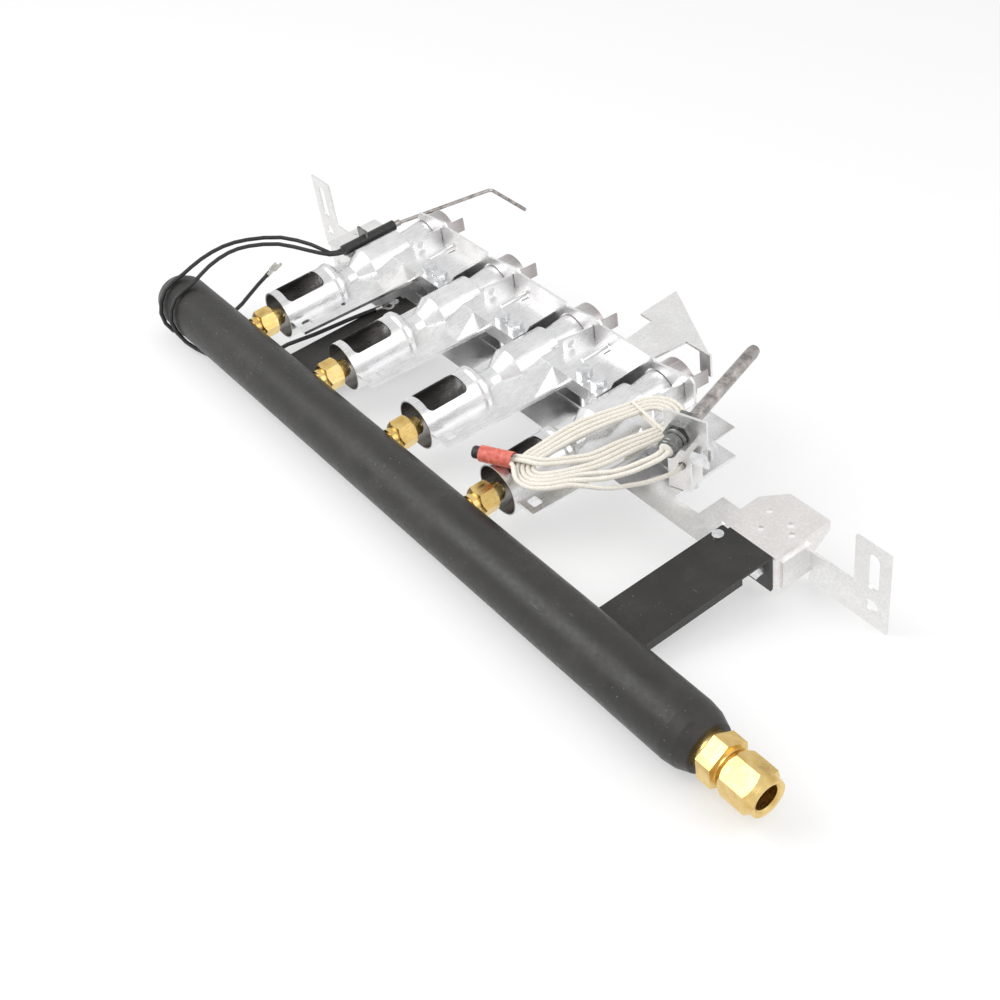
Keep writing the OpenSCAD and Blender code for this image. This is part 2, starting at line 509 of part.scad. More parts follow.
module hank_block() translate([0, 0, hank_z0]) linear_extrude(hank_z1 - hank_z0) polygon([
  sleeve_end + 4.5 * [-sin(sleeve_turn), cos(sleeve_turn)], sleeve_end - 4.5 * [-sin(sleeve_turn), cos(sleeve_turn)],
  hank_at(20, 35), hank_at(40, 44), hank_at(52, 60), hank_at(56, 76), hank_at(54, 95), hank_at(50.5, 105),
  hank_at(45, 120), hank_at(38, 132), hank_at(30, 137), hank_at(23, 134), hank_at(17, 118), hank_at(11.5, 95),
  hank_at(6.8, 70)]);
module igniter_hank() color(white_lead) frame() hank_block();
module hank_tie() color(white_lead) frame() difference() {
  translate([0, 0, hank_z0 - 0.9]) linear_extrude(hank_z1 - hank_z0 + 1.8) polygon([hank_at(14.7, 112), hank_at(48.8, 112),
    hank_at(47.7, 115), hank_at(15.4, 115)]);
  hank_block();
}
module lead_sleeve() color(red) frame() translate([sleeve_end[0], sleeve_end[1], sleeve_z]) rotate([0, 0, sleeve_turn])
  difference() {
    cyl_x(4.5, -19, 0, 32);
    cyl_x(1.6, -20, -13, 20);
  }

// ---------- flame sensor at the first burner ----------
module sensor_bracket() color(dark_steel) frame() difference() {
  union() {
    box([sense_x - 12, sense_y + 4, sheet], [-box_r - 0.6, wing_y - 1.2, sheet + plate]);
    box([sense_x - 7, wing_y - 1.2 - plate, sheet], [-box_r - 0.6, wing_y - 1.2, sense_z + 7]);
  }
  translate([sense_x, 0, sense_z]) cyl_y(3.6, wing_y - 9, wing_y + 3, 28);
}
module sensor_body() color(dark_steel) frame() translate([sense_x, 0, sense_z]) difference() {
  cyl_y(3.5, sense_y, sense_y + 40, 32);
  for (x = [-1.6, 1.6]) translate([x, 0, 0]) cyl_y(lead_r, sense_y - 1, sense_y + 0.01, 20);
}
module sensor_rod() color(dark_steel) frame() translate([sense_x, sense_y + 40, sense_z]) {
  cyl_y(rod_r + 0.9, 0, 4.5, 24);
  translate([0, 2, 0]) rotate([0, 0, -rod_turn]) {
    cyl_y(rod_r, 0, rod_leg, 20);
    translate([rod_bend, rod_leg, 0]) rotate([0, 0, 90 + rod_turn]) {
      rotate_extrude(angle = 90 - rod_turn, $fn = 40) translate([rod_bend, 0]) circle(r = rod_r, $fn = 20);
      translate([rod_bend, 0, 0]) rotate([90, 0, 0]) cylinder(r = rod_r, h = rod_cross, $fn = 20);
    }
  }
}
module sensor_leads() color(black) frame() {
  cord(route(route_a), lead_r);
  cord(route(route_b), lead_r);
}

manifold_pipe();
inlet_body();
inlet_ferrule();
inlet_nut();
orifice(0);  // orifice_1
orifice(1);  // orifice_2
orifice(2);  // orifice_3
orifice(3);  // orifice_4
upper_shell(0);  // upper_shell_1
upper_shell(1);  // upper_shell_2
upper_shell(2);  // upper_shell_3
upper_shell(3);  // upper_shell_4
lower_shell(0);  // lower_shell_1
lower_shell(1);  // lower_shell_2
lower_shell(2);  // lower_shell_3
lower_shell(3);  // lower_shell_4
flame_insert(0);  // flame_insert_1
flame_insert(1);  // flame_insert_2
flame_insert(2);  // flame_insert_3
flame_insert(3);  // flame_insert_4
burner_screws();
crossbar();
flame_shield();
left_arm();
right_arm();
arm_rivets();
arm_bolt();
left_bracket();
right_bracket();
left_ear();
right_ear();
igniter_bracket();
igniter_gland();
igniter_nut();
igniter_insulator();
igniter_rod();
igniter_bolt();
igniter_screws();
igniter_leads();
igniter_hank();
hank_tie();
lead_sleeve();
sensor_bracket();
sensor_body();
sensor_rod();
sensor_leads();
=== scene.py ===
import bmesh
import bpy
import json
from math import asin, atan2, cos, pi, radians, sin
from mathutils import Matrix, Vector

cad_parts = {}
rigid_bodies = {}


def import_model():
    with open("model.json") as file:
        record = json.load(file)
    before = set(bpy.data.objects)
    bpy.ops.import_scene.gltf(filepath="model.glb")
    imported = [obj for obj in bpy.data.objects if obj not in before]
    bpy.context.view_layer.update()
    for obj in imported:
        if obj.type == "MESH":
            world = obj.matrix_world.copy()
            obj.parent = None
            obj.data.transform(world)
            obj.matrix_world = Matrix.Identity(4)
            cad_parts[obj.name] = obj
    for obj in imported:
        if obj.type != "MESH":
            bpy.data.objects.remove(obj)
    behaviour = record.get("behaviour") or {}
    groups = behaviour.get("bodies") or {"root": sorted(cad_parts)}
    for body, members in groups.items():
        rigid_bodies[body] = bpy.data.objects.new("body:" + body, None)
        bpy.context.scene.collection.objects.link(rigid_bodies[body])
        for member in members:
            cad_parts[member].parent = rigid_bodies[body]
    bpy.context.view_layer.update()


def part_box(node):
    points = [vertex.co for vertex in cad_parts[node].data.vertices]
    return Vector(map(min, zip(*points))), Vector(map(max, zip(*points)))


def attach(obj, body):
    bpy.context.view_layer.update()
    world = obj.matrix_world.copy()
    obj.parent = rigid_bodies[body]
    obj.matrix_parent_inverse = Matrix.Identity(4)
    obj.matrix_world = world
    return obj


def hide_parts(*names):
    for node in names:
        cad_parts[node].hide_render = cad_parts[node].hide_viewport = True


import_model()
MM = 0.001
SHOW = bpy.data.objects

# ---------- camera ----------
# Seen from above and beyond the gas inlet, looking back along the pipe. Everything is placed from one point,
# where the pipe's axis meets the first burner's axis: X runs along the pipe and Y along the burners.
pipe_low, pipe_high = (Vector(corner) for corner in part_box("manifold_pipe"))
PIPE_R, END_TO_BURNER = 17, 74
home = Vector((pipe_low.x + END_TO_BURNER * MM, pipe_low.y + PIPE_R * MM, pipe_low.z + PIPE_R * MM))


def at(x, y, z):
    """A place in millimetres from the first burner's crossing with the pipe, as a point of the frame."""
    return home + Vector((x, y, z)) * MM


lens = bpy.data.cameras.new("camera")
lens.lens, lens.sensor_width = 53.2, 36
camera = SHOW.new("camera", lens)
sight_right, sight_up = Vector((0.6007, 0.7892, -0.1278)), Vector((-0.4828, 0.4856, 0.7288))
sight_back = sight_right.cross(sight_up)
camera.matrix_world = Matrix.Translation(at(729.4, -260.2, 521.3)) @ Matrix(
    (sight_right, sight_up, sight_back)).transposed().to_4x4()
lens.clip_start, lens.clip_end = 0.01, 20
bpy.context.scene.collection.objects.link(camera)
bpy.context.scene.camera = camera


# ---------- materials: shader maths as expressions ----------
# Every finish below is a node tree written as Python: a Socket carries a link or a number, and the usual
# operators on it add the Math nodes that they stand for.
class Socket:
    def __init__(self, tree, link):
        self.tree, self.link = tree, link

    def node(self, kind, settings=None, **inputs):
        """Adds a node of that type, its settings first, then its sockets by name, and gives it back."""
        made = self.tree.nodes.new(kind)
        for name, value in (settings or {}).items():
            if name == "stops":
                ramp = made.color_ramp
                while len(ramp.elements) < len(value):
                    ramp.elements.new(0.5)
                for stop, (place, colour) in zip(ramp.elements, value):
                    stop.position = place
                    stop.color = (*colour, 1) if hasattr(colour, "__len__") else (colour, colour, colour, 1)
            else:
                setattr(made, name, value)
        for name, value in inputs.items():
            socket = made.inputs[int(name[1:])] if name[0] == "_" and name[1:].isdigit() else made.inputs[
                name.replace("_", " ")]
            if isinstance(value, Socket):
                self.tree.links.new(value.link, socket)
            else:
                socket.default_value = value
        return made

    def out(self, made, name=0):
        return Socket(self.tree, made.outputs[name])

    def math(self, operation, *values):
        return self.out(self.node("ShaderNodeMath", {"operation": operation},
                                  **{f"_{i}": v for i, v in enumerate(values)}))

    def __add__(self, other): return self.math("ADD", self, other)
    def __sub__(self, other): return self.math("SUBTRACT", self, other)
    def __mul__(self, other): return self.math("MULTIPLY", self, other)

    def noise(self, scale, detail=2.0, rough=0.5, stretch=None):
        where = self
        if stretch:
            where = self.out(self.node("ShaderNodeMapping", Vector=self, Scale=stretch))
        return self.out(self.node("ShaderNodeTexNoise", Vector=where, Scale=scale, Detail=detail,
                                  Roughness=rough))

    def voronoi(self, scale):
        return self.out(self.node("ShaderNodeTexVoronoi", Vector=self, Scale=scale), "Distance")

    def ramp(self, *stops):
        return self.out(self.node("ShaderNodeValToRGB", {"stops": stops}, Fac=self), "Color")

    def band(self, low, high, to_low=0.0, to_high=1.0):
        """Goes from to_low to to_high as this goes from low to high, and stays there beyond them."""
        return self.out(self.node("ShaderNodeMapRange", {"clamp": True}, Value=self, _1=low, _2=high,
                                  _3=to_low, _4=to_high))

    def blend(self, a, b):
        """Colour a where this mask is 0, colour b where it is 1."""
        made = self.node("ShaderNodeMix", {"data_type": "RGBA"}, _0=self, _6=a, _7=b)
        return self.out(made, 2)


def finish(name, look, **fixed):
    """A material: look(shader place, colour setter) links what varies, and fixed names the plain sockets."""
    material = bpy.data.materials.new(name)
    material.use_nodes = True
    tree = material.node_tree
    shader = tree.nodes["Principled BSDF"]
    for socket, value in fixed.items():
        shader.inputs[socket.replace("_", " ")].default_value = value
    place = Socket(tree, tree.nodes.new("ShaderNodeTexCoord").outputs["Object"])
    for socket, value in look(place).items():
        if socket == "bump":
            height, strength, distance = value
            bump = place.node("ShaderNodeBump", Height=height, Strength=strength, Distance=distance)
            tree.links.new(bump.outputs["Normal"], shader.inputs["Normal"])
        else:
            tree.links.new(value.link, shader.inputs[socket.replace("_", " ")])
    return material


def wear(material, *nodes):
    """Gives CAD nodes their finish."""
    for node in nodes:
        mesh = SHOW[node].data
        mesh.materials.clear()
        mesh.materials.append(material)


def colour(r, g, b):
    return (r, g, b, 1)


# ---------- flame sensor leads ----------
# Two black single-core leads with rubbery insulation, 2.6 mm across. They leave the sensor's sleeve, cross to
# the pipe and are wound round its closed end to keep them out of the way.
LEAD_R = 1.3
BURNER_LEN, MOUTH_Y = 130, 35
sensor_y = MOUTH_Y + 0.48 * BURNER_LEN
WRAP_R = PIPE_R + 2.5


def wrap(x, turn):
    """A place on the turns round the pipe's closed end, that many degrees up from the burners' side."""
    return x, WRAP_R * cos(radians(turn)), WRAP_R * sin(radians(turn))


def smoothed(route):
    """The route's points with one more between each two, as the cord's solid has them."""
    points = [Vector(p) for p in route]
    filled = []
    for i, b in enumerate(points[:-1]):
        a, c, d = points[max(i - 1, 0)], points[i + 1], points[min(i + 2, len(points) - 1)]
        filled += [b, (9 * (b + c) - a - d) / 16]
    return filled + [points[-1]]


def cord_curve(name, route, radius):
    """A round cord along those points, as a curve, with its points and its length."""
    points = [at(*p) for p in route]
    line = bpy.data.curves.new(name, "CURVE")
    line.dimensions, line.bevel_depth, line.bevel_resolution = "3D", 1.0, 3
    line.use_fill_caps = True
    spline = line.splines.new("POLY")
    spline.points.add(len(points) - 1)
    for place, p in zip(spline.points, points):
        place.co, place.radius = (*p, 1), radius * MM
    piece = SHOW.new(name, line)
    bpy.context.scene.collection.objects.link(piece)
    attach(piece, "base")
    length = sum((b - a).length for a, b in zip(points, points[1:]))
    return piece, points, length


black_rubber = finish("black_rubber", lambda p: {
    "Base_Color": p.noise(900, 3).ramp((0.35, (0.012, 0.012, 0.013)), (0.7, (0.03, 0.03, 0.032))),
    "Roughness": p.noise(400, 2).band(0.3, 0.7, 0.38, 0.52)}, Specular_IOR_Level=0.5)
sensor_routes = {
    "sensor_lead_a": [(-19.6, sensor_y - 0.9, 9), (-21, sensor_y - 8, 10), (-33, sensor_y - 14, 14),
        (-50, sensor_y - 26, 18), (-62, sensor_y - 44, 20), (-66, sensor_y - 60, 21), (-64, 20, 21),
        wrap(-60, 80), wrap(-58, 125), wrap(-56, 170), wrap(-54, 215), wrap(-52, 260), wrap(-50, 305),
        (-47, 26, -14), (-51, 38, -12), (-57, 50, -11), (-62, 62, -10)],
    "sensor_lead_b": [(-16.4, sensor_y - 0.9, 9), (-18, sensor_y - 10, 11), (-28, sensor_y - 20, 15),
        (-43, sensor_y - 32, 19), (-53, sensor_y - 48, 21), (-55, sensor_y - 62, 22), (-51, 19, 22),
        wrap(-46, 80), wrap(-44, 125), wrap(-42, 170), wrap(-36, 215), wrap(-22, 240), wrap(-6, 260),
        wrap(4, 290), (12, 18, -14.5), (18.3, 28, -9.2), (21.5, 45, -9.6),
        (24.6, MOUTH_Y + 0.26 * BURNER_LEN, -9.6), (27.4, MOUTH_Y + 0.38 * BURNER_LEN, -9.6),
        (29, 90.9, -9.6)],
}


def add_piece(name, work, material):
    """Makes a finished mesh an object of the scene, with its material, riding on the base."""
    bmesh.ops.recalc_face_normals(work, faces=work.faces)
    mesh = bpy.data.meshes.new(name)
    work.to_mesh(mesh)
    work.free()
    mesh.materials.append(material)
    piece = SHOW.new(name, mesh)
    bpy.context.scene.collection.objects.link(piece)
    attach(piece, "base")
    return piece


def facing(place, along):
    """Where a piece drawn round Y at 0, in millimetres, goes: at that place, its Y along that direction."""
    y = Vector(along).normalized()
    x = y.cross(Vector((0, 0, 1))).normalized()
    turn = Matrix((x, y, x.cross(y))).transposed().to_4x4()
    return Matrix.Translation(at(*place)) @ turn @ Matrix.Scale(MM, 4)


def turned(work, outline, place, steps=40, closed=False):
    """Turns an outline of (radius, distance along) once round its axis, as a lathe does."""
    verts = [work.verts.new(place @ Vector((r, y, 0))) for r, y in outline]
    ring = verts + verts[:1] if closed else verts
    edges = [work.edges.new(pair) for pair in zip(ring, ring[1:])]
    bmesh.ops.spin(work, geom=verts + edges, axis=place.to_3x3().col[1].normalized(), cent=place.translation,
                   angle=2 * pi, steps=steps, use_merge=True)
    bmesh.ops.remove_doubles(work, verts=work.verts, dist=1e-6)


def bent_strip(work, profile, start, stop, thick, place):
    """Thin sheet bent to a profile of (across, up) points and run along its place's Y."""
    sheet = bmesh.new()
    verts = [sheet.verts.new((x, start, z)) for x, z in profile]
    edges = [sheet.edges.new(pair) for pair in zip(verts, verts[1:])]
    made = bmesh.ops.extrude_edge_only(sheet, edges=edges)["geom"]
    far_edge = [v for v in made if isinstance(v, bmesh.types.BMVert)]
    bmesh.ops.translate(sheet, verts=far_edge, vec=(0, stop - start, 0))
    bmesh.ops.recalc_face_normals(sheet, faces=sheet.faces)
    bmesh.ops.solidify(sheet, geom=sheet.faces[:], thickness=thick)
    bmesh.ops.transform(sheet, matrix=place, verts=sheet.verts)
    part = bpy.data.meshes.new("part")
    sheet.to_mesh(part)
    sheet.free()
    work.from_mesh(part)
    bpy.data.meshes.remove(part)


def arc(radius, first, last, steps=10, middle=(0, 0)):
    """Points on an arc between two angles in degrees."""
    turns = (radians(first + (last - first) * i / steps) for i in range(steps + 1))
    return [(middle[0] + radius * cos(a), middle[1] + radius * sin(a)) for a in turns]


BARREL = arc(1.75, -250, 70, 14)


def ring_terminal(name, end, ahead):
    """A crimped ring terminal on a lead's end: a rolled barrel, a neck and an eye."""
    place = facing(end, ahead)
    work = bmesh.new()
    bent_strip(work, BARREL, -3.2, 1.2, 0.35, place)
    bent_strip(work, [(-1.5, -0.9), (-0.6, -1.3), (0.6, -1.3), (1.5, -0.9)], 1.0, 3.2, 0.5, place)
    eye = place @ Matrix.Translation((0, 5.9, -1.1)) @ Matrix.Rotation(pi / 2, 4, "X")
    rim = [(1.9, -0.4), (3.4, -0.4), (3.6, -0.2), (3.6, 0.2), (3.4, 0.4), (1.9, 0.4)]
    turned(work, rim, eye, closed=True)
    return add_piece(name, work, tinned)


def push_on_terminal(name, end, ahead):
    """A push-on receptacle: the barrel, and a flat box whose two edges are rolled over the tab's slot."""
    place = facing(end, ahead)
    work = bmesh.new()
    bent_strip(work, BARREL, -3.4, 1.2, 0.35, place)
    bent_strip(work, [(-1.5, -0.6), (-0.6, -1.3), (0.6, -1.3), (1.5, -0.6)], 1.0, 3.2, 0.4, place)
    bent_strip(work, arc(0.75, 60, -60, 6, (2.1, 0))[::-1] + [(2.1, -1.2), (0, -1.3), (-2.1, -1.2)]
               + arc(0.75, 240, 120, 6, (-2.1, 0)), 3.0, 10.2, 0.4, place)
    return add_piece(name, work, tinned)


tinned = finish("tinned_terminals", lambda p: {
    "Base_Color": p.noise(500, 4).ramp((0.3, (0.50, 0.48, 0.44)), (0.7, (0.74, 0.73, 0.70))),
    "Roughness": p.noise(600, 3).band(0.3, 0.7, 0.22, 0.42),
    "bump": (p.noise(900, 3), 0.15, 0.0002)}, Metallic=1)
for name, route in sensor_routes.items():
    piece, points, length = cord_curve(name, smoothed(route), LEAD_R)
    piece.data.materials.append(black_rubber)
    ahead = points[-1] - points[-2]
    terminal = (push_on_terminal if name == "sensor_lead_a" else ring_terminal)(
        f"{name}_terminal", route[-1], ahead)
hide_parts("sensor_leads")

# ---------- igniter leads and their hank ----------
# Two heat-proof leads in white glass braid run from the igniter's ceramic and are coiled into a flat hank on
# top of the last burner. A short lead from the igniter's plate, taken to be its earth, joins them in the red
# sleeve. The plug inside the sleeve, the strap and the terminals are guesses.
PITCH = 76.2
SPAN = 3 * PITCH
NEAR, NEAR_R = Vector((SPAN + 22.6, 54.3)), 16.9
FAR, FAR_R = Vector((SPAN + 32, 118)), 16.6
LANE, BED = 2.75, 18.4
IGNITER, IGNITER_TURN = Vector((SPAN + 60.1, 112.4)), radians(17)
IGNITER_Z = 28
SLEEVE, SLEEVE_TURN = Vector((SPAN + 7.2, 43.2)), radians(27)
SLEEVE_Z, SLEEVE_R, SLEEVE_LEN = 20.3, 4.5, 19


def by_igniter(x, y, z):
    """A place given in the igniter's own directions, across and along its rod, in the pipe's millimetres."""
    return (IGNITER.x + x * cos(IGNITER_TURN) - y * sin(IGNITER_TURN),
            IGNITER.y + x * sin(IGNITER_TURN) + y * cos(IGNITER_TURN), z)


def wave(t):
    """0 at and beyond both ends, 1 half way, with soft shoulders."""
    return sin(pi * min(max(t, 0), 1)) ** 2


def ease(t):
    """0 before, 1 beyond, with a soft start and stop between."""
    t = min(max(t, 0), 1)
    return t * t * (3 - 2 * t)


def in_hank(place, lane):
    """The middle of a lead that many quarters round the hank, lane 0 the outermost: igniter side, near fold,
    burner side, far fold."""
    line = FAR - NEAR
    ahead, slant = atan2(line.y, line.x), asin((NEAR_R - FAR_R) / line.length)
    right, left = ahead - pi / 2 + slant, ahead + pi / 2 - slant
    quarter, t = divmod(place % 4, 1)

    def rim(centre, radius, a):
        return centre + (radius - lane * LANE) * Vector((cos(a), sin(a)))
    lift = 3 * wave((place % 4 - 0.7) / 0.9)
    if quarter == 0:
        out = (4.9 - 0.75 * lane) * sin(pi * t ** 1.2) ** 1.4
        p = rim(FAR, FAR_R, right).lerp(rim(NEAR, NEAR_R, right), t) + out * Vector((cos(right), sin(right)))
        lift -= 1.2 * wave(t)
    elif quarter == 1:
        p = rim(NEAR, NEAR_R, right - t * (2 * pi - left + right))
    elif quarter == 2:
        out = (4.6 - 0.55 * lane) * sin(pi * t ** 0.9) ** 1.4
        p = rim(NEAR, NEAR_R, left).lerp(rim(FAR, FAR_R, left), t) + out * Vector((cos(left), sin(left)))
    else:
        p = rim(FAR, FAR_R, left - t * (left - right))
    return Vector((p.x, p.y, BED + lift))


def to_sleeve(side, z, back):
    """A place on the way into the sleeve's mouth, that far in front of it and to that side of its middle."""
    c, s = cos(SLEEVE_TURN), sin(SLEEVE_TURN)
    return SLEEVE.x + back * c - side * s, SLEEVE.y + back * s + side * c, z


def eased(points, rounds):
    """Spreads a route's bends over their neighbours, as a springy lead does, with its ends kept."""
    for _ in range(rounds):
        inner = [(a + 2 * b + c) / 4 for a, b, c in zip(points, points[1:], points[2:])]
        points = [points[0]] + inner + [points[-1]]
    return points


def evenly(points, step):
    """The same route with its points that many millimetres apart."""
    route, left = [points[0]], step
    for a, b in zip(points, points[1:]):
        gone = 0
        while (b - a).length - gone >= left:
            gone += left
            route.append(a.lerp(b, gone / (b - a).length))
            left = step
        left -= (b - a).length - gone
    return route + [points[-1]] if (route[-1] - points[-1]).length > step / 2 else route[:-1] + [points[-1]]


def curve_through(knots):
    """A smooth curve through a few places, with eight points from each to the next."""
    p = [Vector(k) for k in knots]
    p = [2 * p[0] - p[1]] + p + [2 * p[-1] - p[-2]]
    return [0.5 * (2 * b + (c - a) * t + (2 * a - 5 * b + 4 * c - d) * t * t
                   + (3 * b - 3 * c + d - a) * t ** 3)
            for a, b, c, d in zip(p, p[1:], p[2:], p[3:]) for t in (i / 8 for i in range(8))] + [p[-2]]


QUARTER_STEPS, POINT_GAP = 24, 1.5
LEAVES, LANE_CHANGE = 8.72, 0.45


def hank_route(start, joins, lane, side):
    """A lead from the igniter: into the hank, about two rounds with a change of lane on the igniter side, and
    out over the near fold to the sleeve."""
    turns = []
    for step in range(int(joins * QUARTER_STEPS), int(LEAVES * QUARTER_STEPS)):
        place = step / QUARTER_STEPS
        inner = lane + 2 * ease((place - 4) / LANE_CHANGE) + 2 * ease((place - 8) / LANE_CHANGE)
        turns.append(in_hank(place, inner))
    out = curve_through([turns[-1], to_sleeve(side * 1.25, 22, 17), to_sleeve(side, 22.3, 9),
                         to_sleeve(side, 21.2, 1.5), to_sleeve(side, 20.6, -2.5)])
    return eased(evenly(curve_through(start + [turns[0]])[:-1] + turns + out[1:], POINT_GAP), 8)


lead_a = hank_route([
    by_igniter(-1.8, -14.5, IGNITER_Z), by_igniter(-1.8, -20, IGNITER_Z), (SPAN + 61.4, 86.5, 26.6),
    (SPAN + 57.2, 80, 24), (SPAN + 52.6, 74.2, 21.4)], 0.80, 1, 2.75)
lead_b = hank_route([
    by_igniter(1.8, -14.5, IGNITER_Z), by_igniter(1.8, -20, IGNITER_Z), (SPAN + 65.6, 87, 26.8),
    (SPAN + 61.8, 79.3, 24.4), (SPAN + 56.4, 71.9, 22.2), (SPAN + 50.6, 65.4, 20.4)], 0.98, 0, 0)
around = [in_hank(step / QUARTER_STEPS, -1.06)
          for step in range(int(1.02 * QUARTER_STEPS), int(1.42 * QUARTER_STEPS))]
to_hank = curve_through([
    by_igniter(-0.5, 2.6, 5.5), by_igniter(-0.5, -4, 5.6), by_igniter(-2.5, -11, 6.6), (SPAN + 59.6, 88, 9.5),
    (SPAN + 57.6, 77, 13), (SPAN + 54.4, 66.6, 15.9), around[0]])
off_hank = curve_through([
    around[-1], (SPAN + 19.8, 34.8, 20.3), (SPAN + 14, 38.2, 21.2), to_sleeve(-2.75, 21.1, 1),
    to_sleeve(-2.7, 20.6, -2.5)])
lead_c = eased(evenly(to_hank[:-1] + around + off_hank[1:], POINT_GAP), 5)

white_braid = finish("white_braid", lambda p: {
    "Base_Color": p.voronoi(1500).band(0.1, 0.75).blend(
        p.noise(160, 4, 0.6).ramp((0.3, (0.88, 0.85, 0.78)), (0.7, (0.96, 0.95, 0.91))),
        colour(0.76, 0.71, 0.62)),
    "Roughness": p.noise(300, 3).band(0.3, 0.7, 0.55, 0.75),
    "bump": (p.voronoi(1500), 0.5, 0.0003)})
earth_eye = ring_terminal("earth_terminal", by_igniter(-0.5, 0.6, 5.5), lead_c[0] - lead_c[1])

sleeve_work = bmesh.new()
into_sleeve = (-cos(SLEEVE_TURN), -sin(SLEEVE_TURN), 0)
sleeve_place = facing((SLEEVE.x, SLEEVE.y, SLEEVE_Z), into_sleeve)
sleeve_wall = [(4.1, 0.1), (4.3, 0), (SLEEVE_R, 0.3), (SLEEVE_R, 5), (4.42, 6), (4.42, 13), (SLEEVE_R, 14),
               (SLEEVE_R, 18.7), (4.3, SLEEVE_LEN), (4.1, 18.8)]
turned(sleeve_work, sleeve_wall, sleeve_place, closed=True)
long_edges = [e for e in sleeve_work.edges if e.calc_length() > 2.5 * MM]
bmesh.ops.subdivide_edges(sleeve_work, edges=long_edges, cuts=5)
for spot in sleeve_work.verts:
    own = sleeve_place.inverted() @ spot.co
    crumple = 0.22 * sin(1.9 * own.y + 3 * atan2(own.z, own.x)) * wave(own.y / SLEEVE_LEN)
    swell = 1 + crumple / SLEEVE_R
    spot.co = sleeve_place @ Vector((own.x * swell, own.y, own.z * swell))
red_plastic = finish("red_sleeve", lambda p: {
    "Base_Color": p.noise(300, 4, 0.65).ramp((0.3, (0.55, 0.07, 0.05)), (0.7, (0.80, 0.24, 0.18))),
    "Roughness": p.noise(500, 3).band(0.3, 0.7, 0.3, 0.5),
    "bump": (p.noise(420, 3), 0.3, 0.0006)}, Specular_IOR_Level=0.5)
sleeve = add_piece("red_sleeve_tube", sleeve_work, red_plastic)
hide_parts("lead_sleeve")

plug_work = bmesh.new()
turned(plug_work, [(0, 2.7), (3.7, 2.7), (4.0, 3.2), (4.0, 19.4), (3.5, 19.8), (3.5, 22.6), (3.1, 23.2),
                   (2.2, 23.2), (2.2, 21.5), (0, 21.5)], sleeve_place)
plug = add_piece("lead_plug", plug_work, black_rubber)

tie_work = bmesh.new()
tie_at = Vector(in_hank(3.0, 0)).lerp(in_hank(0.0, 0), 0.5)
across = in_hank(0.06, 0) - in_hank(2.94, 0)
half = across.length / 2 + 1.75
across = across.normalized()
profile = [p for x, first in ((half - 1.9, -90), (1.9 - half, 90))
           for p in arc(1.85, first, first + 180, 8, (x, 0))]
bent_strip(tie_work, profile + profile[:1], -0.9, 0.9, 0.4,
           facing((tie_at.x + 0.5, tie_at.y - 3, BED), (-across.y, across.x, 0)))
tie = add_piece("hank_strap", tie_work, white_braid)
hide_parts("hank_tie")

wear(white_braid, "igniter_leads", "igniter_hank", "hank_tie")
wear(red_plastic, "lead_sleeve")
wear(black_rubber, "sensor_leads")
for name, route, stands_for in (("igniter_lead_a", lead_a, "igniter_hank"), ("igniter_lead_b", lead_b, None),
                                ("igniter_earth_lead", lead_c, "igniter_leads")):
    piece, points, length = cord_curve(name, route[::2], LEAD_R)
    piece.data.materials.append(white_braid)
    earth = name == "igniter_earth_lead"
    if stands_for:
        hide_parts(stands_for)

# ---------- black pipe and arms ----------
# Steel pipe with both ends swaged down, brushed with satin black paint. Dust, pinholes and rub marks show.
# The two arms are strips of the same painted steel, welded to the pipe.
def painted(p):
    cloud = p.noise(60, 6, 0.6)
    dust = p.voronoi(380).band(0.05, 0.14, 0.8, 0) * p.noise(24, 4, 0.65).band(0.50, 0.62)
    rubs = p.noise(150, 5, 0.7, stretch=(0.25, 1.4, 1.4)).band(0.66, 0.72, 0, 0.5)
    base = cloud.ramp((0.3, (0.014, 0.0132, 0.0122)), (0.55, (0.022, 0.0208, 0.019)),
                      (0.75, (0.040, 0.037, 0.034)))
    return {"Base_Color": rubs.blend(dust.blend(base, colour(0.34, 0.325, 0.30)), colour(0.14, 0.133, 0.125)),
            "Roughness": (cloud * 0.6 + p.noise(400, 3) * 0.4).band(0.35, 0.65, 0.34, 0.56),
            "bump": (p.noise(520, 4) * 0.7 + p.noise(90, 3) * 0.3, 0.16, 0.0005)}


black_paint = finish("black_paint", painted, Specular_IOR_Level=0.5)
wear(black_paint, "manifold_pipe", "left_arm", "right_arm")


# ---------- brass fittings ----------
# Each orifice is turned from hexagon brass and screws into the pipe. The gas inlet is a brass body with a
# ferrule and a compression nut, whose thread shows in the gap between them.
def turned_brass(p):
    tarnish = p.noise(95, 5, 0.62)
    tool = p.noise(420, 2, 0.5, stretch=(3, 0.5, 0.5))
    base = tarnish.ramp((0.32, (0.60, 0.40, 0.13)), (0.5, (0.80, 0.57, 0.21)), (0.7, (0.90, 0.70, 0.33)))
    return {"Base_Color": p.voronoi(500).band(0.02, 0.07, 0.6, 0).blend(base, colour(0.25, 0.16, 0.07)),
            "Roughness": (tarnish * 0.5 + tool * 0.5).band(0.35, 0.65, 0.18, 0.40),
            "bump": (tool, 0.14, 0.0003)}


brass = finish("brass", turned_brass, Metallic=1)
wear(brass, "inlet_body", "inlet_ferrule", "inlet_nut", *(f"orifice_{n}" for n in (1, 2, 3, 4)))


def thread(work, place, radius, depth, pitch, start, turns, steps=24):
    """A screw thread: a small vee turned round the axis as it moves along, one pitch a turn."""
    corners = [work.verts.new(place @ Vector((r, start + y * pitch, 0)))
               for r, y in ((radius - 0.15, -0.42), (radius + depth, 0), (radius - 0.15, 0.42))]
    vee = work.faces.new(corners)
    along = place.to_3x3().col[1].normalized()
    bmesh.ops.spin(work, geom=[vee], axis=along, cent=place.translation, dvec=along * (pitch * MM / steps),
                   angle=2 * pi * turns, steps=int(steps * turns))


